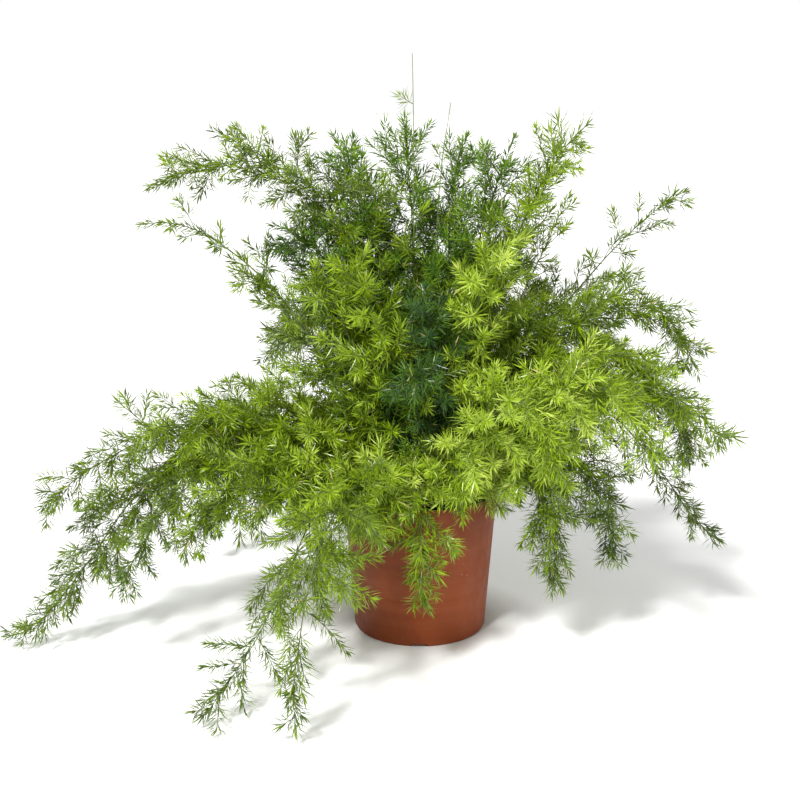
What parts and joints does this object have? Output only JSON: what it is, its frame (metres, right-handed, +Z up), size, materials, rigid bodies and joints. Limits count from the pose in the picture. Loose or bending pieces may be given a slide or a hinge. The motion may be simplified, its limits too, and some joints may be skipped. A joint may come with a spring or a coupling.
{
  "type": "potted asparagus fern",
  "caption": "Asparagus fern with upright, arching and trailing fronds of fine needles, growing in a round tapered nursery pot.",
  "frame": {"origin": "the middle of the pot's underside, on the surface the pot stands on", "axes": "+Z up, -Y to the side the picture shows, +X to the picture's right"},
  "size_m": [0.7562, 0.645, 0.6136],
  "materials": {
    "pot_plastic": "satin, a little dusty",
    "compost": "matt, crumbly",
    "young_shoot": "soft satin",
    "inner_foliage": "soft satin",
    "outer_foliage": "soft satin"
  },
  "bodies": {
    "root": {"pot": "pot_plastic", "soil": "compost", "crown_shoot_tall": "young_shoot", "crown_shoot_thin": "young_shoot", "crown_left": "inner_foliage", "crown_right": "inner_foliage", "crown_front": "inner_foliage", "left_high_long": "outer_foliage", "left_high_twiggy": "outer_foliage", "left_high_short": "outer_foliage", "left_upright": "inner_foliage", "back_upright": "inner_foliage", "back_right_upright": "inner_foliage", "right_airy_short": "outer_foliage", "right_high_open": "outer_foliage", "centre_right": "outer_foliage", "centre_front": "inner_foliage", "centre_left": "outer_foliage", "centre_far_left": "outer_foliage", "left_sweep_long": "outer_foliage", "left_sweep_top": "outer_foliage", "left_sweep_low": "outer_foliage", "left_sweep_inner": "outer_foliage", "left_sweep_short": "outer_foliage", "front_left_trail": "outer_foliage", "front_left_drop": "outer_foliage", "front_rim_left": "outer_foliage", "front_rim_drop": "outer_foliage", "front_rim_right": "outer_foliage", "right_near_arch": "outer_foliage", "right_rim_drop": "outer_foliage", "right_rim_far": "outer_foliage", "right_arch_front": "outer_foliage", "right_arch_low": "outer_foliage", "right_arch_mid": "outer_foliage", "right_arch_top": "outer_foliage", "right_trail": "outer_foliage", "right_airy_long": "outer_foliage", "back_right_arch": "outer_foliage", "back_right_low": "outer_foliage", "back_arch": "outer_foliage", "back_low": "outer_foliage", "back_left_arch": "outer_foliage", "back_left_low": "outer_foliage"}
  },
  "joints": []
}
